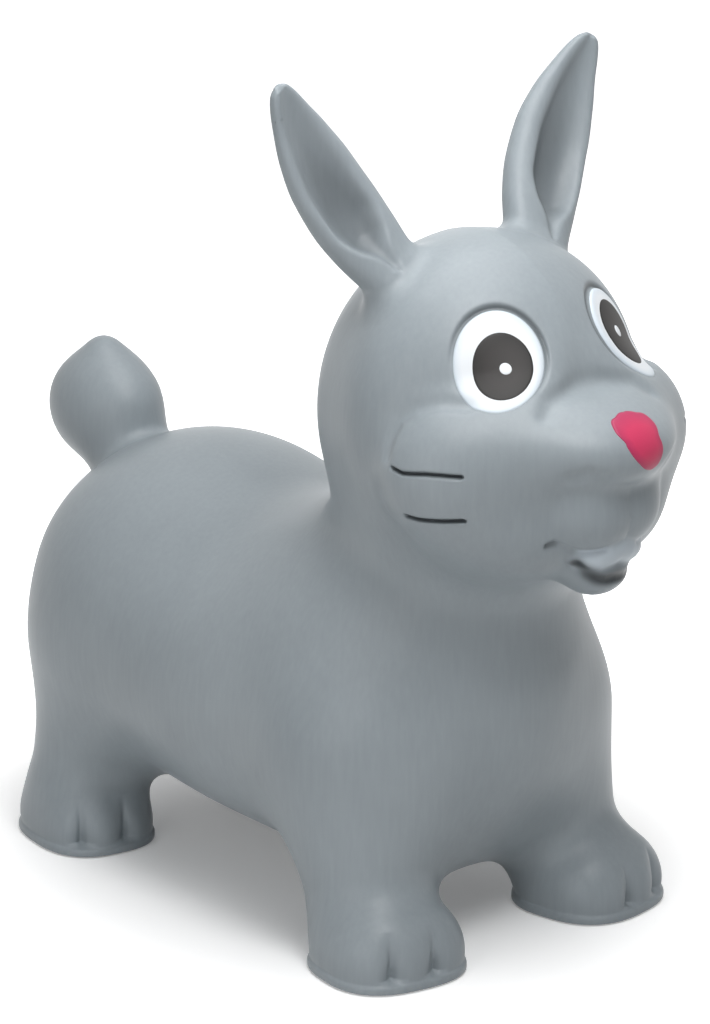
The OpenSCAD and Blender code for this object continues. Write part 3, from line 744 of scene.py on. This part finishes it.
def turnedPart(name, code, roughness, marks):
    material, tree = newMaterial(name)
    place = addNode(tree, "ShaderNodeTexCoord").outputs["Object"]
    centre = addNode(tree, "ShaderNodeMapping",
                     {"Vector": place, "Location": (0, -saddleBack * mm, 0)})
    rings = addNode(tree, "ShaderNodeTexWave",
                    {"Vector": centre.outputs["Vector"], "Scale": marks},
                    wave_type="RINGS", rings_direction="Z")
    bump = addNode(tree, "ShaderNodeBump", {
        "Height": rings.outputs["Fac"], "Strength": turningMarks["share"],
        "Distance": turningMarks["depth"]})
    shader = addNode(tree, "ShaderNodeBsdfPrincipled", {
        "Base Color": linear(code), "Normal": bump.outputs["Normal"], "Roughness": roughness})
    addNode(tree, "ShaderNodeOutputMaterial", {"Surface": shader.outputs[0]})
    return material


skinMaterial = mouldedPvc()
paintOf = {use: sprayedPaint(*values) for use, values in paints.items()}
for node, values in valveFinishes.items():
    finish = turnedPart(*values)
    for holder in bpy.data.objects[node].material_slots:
        holder.material = finish
print("materials are mixed")


# Tones: how far the ear's hollow, the eye's ring, the whiskers and two folds get painted shade,
# over how many millimetres, and how far the painted highlight reaches past the lower lip
tones = {
    "ear": 0.5, "earDepth": 8, "earTop": 530, "earFade": 60,
    "ring": 0.75, "ringAt": 0.3, "ringReach": 1.5, "ringFade": (1.4, 0.4), "whiskerReach": 1.25,
    "folds": (("underLip", 1.7, 4.0), ("mouthCorner", 0.6, 2.4)),
    "lipFrom": 3, "lipPast": 1.5, "lipPower": 6, "grooveShare": 1.3,
}


def grooveTone(p, region):  # 1 for painted shade in grooves, folds and the ear's hollow
    q = mirrored(p)
    if region == "ear":
        inEar = np.clip(-earForms(q)[0] / tones["earDepth"], 0, 1)
        return tones["ear"] * inEar * np.clip((tones["earTop"] - q[:, 2]) / tones["earFade"], 0, 1)
    if region != "head":
        return np.zeros(len(p))
    ring, share = eyeRing(q)
    rise, drop = tones["ringFade"]
    tone = tones["ring"] * bell(ring - tones["ringAt"], tones["ringReach"])
    tone = tone * np.clip(share * rise - drop, 0, 1)
    for line in ("upper", "lower"):
        tone = np.maximum(tone, bell(whiskerLine(q, line), tones["whiskerReach"]))
    for line, share, reach in tones["folds"]:
        tone = np.maximum(tone, share * bell(nearLine(q, folds[line][0]), reach))
    return np.clip(tone, 0, 1)


def polishTone(p, region):  # 1 where a painted highlight lightens the lower lip
    if region != "head":
        return np.zeros(len(p))
    reach = head["mouthRadius"][0] + tones["lipPast"]
    fromLip = nearLine(mirrored(p), head["mouth"][tones["lipFrom"]:])
    close = np.exp(-(fromLip / reach) ** tones["lipPower"])
    return close * np.clip(1 - grooveTone(p, region) * tones["grooveShare"], 0, 1)


# The skin's pieces: region and whether it is on the left, and the node that each stands for
skinPieces = {
    ("torso", None): "torso_skin", ("head", None): "head_skin", ("tail", None): "tail_skin",
    ("ear", True): "ear_skin_left", ("ear", False): "ear_skin_right",
    ("front_leg", True): "front_leg_left", ("front_leg", False): "front_leg_right",
    ("rear_leg", True): "rear_leg_left", ("rear_leg", False): "rear_leg_right",
}
names, number, left = regionOf(skinPoints, skinFaces)
for (region, side), node in skinPieces.items():
    chosen = number == names.index(region)
    if side is not None:
        chosen &= left == side
    used, local = np.unique(skinFaces[chosen], return_inverse=True)
    local = local.reshape(-1, 3)
    verts, norms = skinPoints[used], skinNormals[used]
    polys = [tuple(f) for f in local]
    for loop in boundaryLoops(local):  # a lid closes each piece where it meets the next
        middle = len(verts)
        verts = np.concatenate([verts, verts[loop].mean(0)[None]])
        norms = np.concatenate([norms, norms[loop].mean(0)[None]])
        polys += [(b, a, middle) for a, b in zip(loop, loop[1:] + loop[:1])]
    norms = norms / np.maximum(np.linalg.norm(norms, axis=1), 1e-6)[:, None]
    # The two tones carry the painted shade and the painted highlight into the skin's colour
    piece = addPiece("moulded_" + node, placed(verts), polys, skinMaterial, norms,
                     groove=grooveTone(verts, region), polish=polishTone(verts, region))
    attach(piece, "hopper")
    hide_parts(node)
    print("moulded", node, len(polys), "faces")


# Paint lies on the skin inside an outline, with its edge sunk into the skin
film = {"spacing": 0.8, "rimAt": 0.93, "rimWidth": 0.07, "sunk": 0.05, "root": 0.5, "above": 3}


def dropped(start, towards, rounds=24, flattest=-0.35, longest=3):  # where lines meet the skin
    p = start.copy()
    for turn in range(rounds):
        value, slope = slopeOf(p)
        rate = np.minimum(slope @ towards, flattest)
        p = p - towards * np.clip(value / rate, -longest, longest)[:, None]
    return p


def paintPatch(name, node, material, spot, outline, height, side=1, middle=(0, 0),
               rings=22, spokes=96):
    at, out, up = spot
    axes = patchAxes(out, up)
    edge = outline(np.linspace(0, 2 * np.pi, spokes, endpoint=False))
    shares = np.linspace(0, 1, rings + 1)[1:] ** film["spacing"]
    flat = np.concatenate([[(0, 0)]] + [edge * s for s in shares])
    flat += middle
    start = np.array(at, float) + flat @ axes[:, :2].T + axes[:, 2] * film["above"]
    base = dropped(start, -axes[:, 2])
    value, slope = slopeOf(base)
    norm = slope / np.linalg.norm(slope, axis=1)[:, None]
    share = np.concatenate([[0]] + [np.full(spokes, s) for s in shares])
    pastRim = np.clip(share - film["rimAt"], 0, 1) / film["rimWidth"]
    rim = np.sqrt(np.clip(1 - pastRim ** 2, 0, 1))
    top = base + norm * (height * rim - film["sunk"])[:, None]
    under = base - norm * film["root"]
    verts = np.concatenate([top, under])
    polys = []
    count = len(top)
    for r in range(rings):
        for s in range(spokes):
            n = (s + 1) % spokes
            if r == 0:
                cell = (0, 1 + s, 1 + n)
            else:
                a, b = 1 + (r - 1) * spokes, 1 + r * spokes
                cell = (a + s, b + s, b + n, a + n)
            polys += [cell, tuple(i + count for i in cell[::-1])]
    last = 1 + (rings - 1) * spokes
    for s in range(spokes):
        n = (s + 1) % spokes
        polys.append((last + s, last + s + count, last + n + count, last + n))
    if side < 0:
        verts = verts * np.array((-1, 1, 1))
        polys = [p[::-1] for p in polys]
    piece = addPiece(name, placed(verts), polys, material, share=np.concatenate([share, share]))
    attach(piece, "hopper")
    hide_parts(node)


def oval(width, height):
    return lambda angle: np.stack([np.cos(angle) * width / 2, np.sin(angle) * height / 2], 1)


# Nose: a triangle with round corners, its point down and leaning a little to one side
nose = {
    "at": (0, -290, 336), "coat": 0.5, "lean": 0.28,
    "turns": (-90, -74, -45, 6, 26.6, 39.4, 60.3, 90),
    "reach": (16.8, 15.9, 13.9, 13.2, 17.2, 17.8, 15.6, 14.6),
}


def noseOutline(angle):
    reach = smoothCurve(np.degrees(np.arcsin(np.sin(angle))), nose["turns"], nose["reach"])
    lean = nose["lean"] * np.maximum(-np.sin(angle), 0) * reach
    return np.stack([np.cos(angle) * reach + lean, np.sin(angle) * reach], 1)


for side, word in ((1, "left"), (-1, "right")):
    spot = (eye["at"], eye["out"], eye["up"])
    for coat, (name, node, slot, use, size, middle) in enumerate((
            ("white_of_eye_", "eye_white_", "eye_white_paint", "white", eye["white"], (0, 0)),
            ("pupil_paint_", "pupil_", "pupil_paint", "pupil", eye["pupil"][side],
             eye["pupilAt"][side]),
            ("light_spot_", "eye_glint_", "light_spot_paint", "white", (eye["glint"],) * 2,
             eye["glintAt"][side]))):
        paintPatch(name + word, node + word, paintOf[use], spot, oval(*size),
                   eye["coats"][coat], side, middle, eye["rings"][coat], eye["spokes"][coat])
paintPatch("painted_nose", "nose_paint", paintOf["nose"], (nose["at"], 0, 0),
           noseOutline, nose["coat"])
print("paint is on")


# Camera: the photograph's frame is 710 by 1024 pixels
shot = {
    "turn": -41.0, "rise": 17.0, "distance": 2.625, "target": (0, -0.0199, 0.2378),
    "pixels": 4280, "tall": 1024, "sensor": 36,
}


def addCamera():
    a, e = np.radians(shot["turn"]), np.radians(shot["rise"])
    back = Vector((np.sin(a) * np.cos(e), -np.cos(a) * np.cos(e), np.sin(e)))
    data = bpy.data.cameras.new("camera")
    data.sensor_width = shot["sensor"]
    data.lens = shot["pixels"] * shot["sensor"] / shot["tall"]
    camera = bpy.data.objects.new("camera", data)
    camera.location = Vector(shot["target"]) + back * shot["distance"]
    camera.rotation_euler = back.to_track_quat("Z", "Y").to_euler()
    bpy.context.scene.collection.objects.link(camera)
    bpy.context.scene.camera = camera


# Studio: a dim white world that shows as full white, five soft round lamps, and a floor that
# glows up to white away from the toy, so that only the soft shadow at the paws is seen
studio = {
    "world": 0.17, "glowNear": 0.13, "glowFar": 1.0, "near": 0.10, "far": 0.44,
    "floorReach": 12, "floorDown": 0.0004, "paper": "#f4f4f4", "paperRoughness": 0.9,
    "lamps": (  # name, place, width, watts, what it looks at
        ("above", (0, -0.05, 1.1), 0.75, 5.0, (0, -0.08, 0.3)),
        ("front", (-0.4, -0.8, 1.5), 0.85, 7.4, (0, -0.05, 0.3)),
        ("side", (-1.3, -0.45, 0.55), 1.0, 3.6, (0, -0.02, 0.06)),
        ("back", (0.9, 1.5, 0.65), 1.2, 1.5, (0, 0.05, 0.2)),
        ("face", (-0.2, -0.48, 0.95), 0.35, 1.75, (0, -0.18, 0.38)),
    ),
}


def addLamp(name, place, size, power, target):
    data = bpy.data.lights.new(name, "AREA")
    data.shape = "DISK"
    data.size = size
    data.energy = power
    lamp = bpy.data.objects.new(name, data)
    lamp.location = place
    lamp.rotation_euler = (Vector(place) - Vector(target)).to_track_quat("Z", "Y").to_euler()
    bpy.context.scene.collection.objects.link(lamp)


def seenAsWhite(tree):  # 1 for what is seen, in gloss and glass too, and 0 for light on the toy
    path = addNode(tree, "ShaderNodeLightPath").outputs
    seen = addNode(tree, "ShaderNodeMath", {
        0: path["Is Camera Ray"], 1: path["Is Transmission Ray"]}, operation="MAXIMUM")
    seen = addNode(tree, "ShaderNodeMath", {0: seen.outputs[0], 1: path["Is Glossy Ray"]},
                   operation="MAXIMUM")
    return seen.outputs[0]


def addWorld():
    world = bpy.data.worlds.new("studio")
    bpy.context.scene.world = world
    world.use_nodes = True
    tree = world.node_tree
    tree.nodes.clear()
    strength = addNode(tree, "ShaderNodeMapRange", {
        "Value": seenAsWhite(tree), "To Min": studio["world"], "To Max": 1.0})
    backdrop = addNode(tree, "ShaderNodeBackground", {
        "Color": (1, 1, 1, 1), "Strength": strength.outputs[0]})
    addNode(tree, "ShaderNodeOutputWorld", {"Surface": backdrop.outputs[0]})


def addFloor():
    mesh = bpy.data.meshes.new("floor")
    s = studio["floorReach"]
    z = -studio["floorDown"]  # just under the soles, so that the two faces don't flicker
    mesh.from_pydata([(-s, -s, z), (s, -s, z), (s, s, z), (-s, s, z)], [], [(0, 1, 2, 3)])
    material, tree = newMaterial("floor paper, matt white")
    place = addNode(tree, "ShaderNodeTexCoord").outputs["Object"]
    away = addNode(tree, "ShaderNodeVectorMath", {0: place}, operation="LENGTH")
    white = addNode(tree, "ShaderNodeMapRange", {
        "Value": away.outputs["Value"], "From Min": studio["near"], "From Max": studio["far"],
        "To Min": studio["glowNear"], "To Max": studio["glowFar"]},
        interpolation_type="SMOOTHSTEP")
    glow = addNode(tree, "ShaderNodeMath", {0: seenAsWhite(tree), 1: white.outputs[0]},
                   operation="MULTIPLY")
    emit = addNode(tree, "ShaderNodeEmission", {"Strength": glow.outputs[0]})
    paper = addNode(tree, "ShaderNodeBsdfPrincipled", {
        "Base Color": linear(studio["paper"]), "Roughness": studio["paperRoughness"]})
    both = addNode(tree, "ShaderNodeAddShader", {0: paper.outputs[0], 1: emit.outputs[0]})
    addNode(tree, "ShaderNodeOutputMaterial", {"Surface": both.outputs[0]})
    mesh.materials.append(material)
    floor = bpy.data.objects.new("floor", mesh)
    bpy.context.scene.collection.objects.link(floor)


addCamera()
for lamp in studio["lamps"]:
    addLamp(*lamp)
addWorld()
addFloor()
bpy.context.scene.view_settings.view_transform = "Standard"
print("camera, lamps and floor are set")
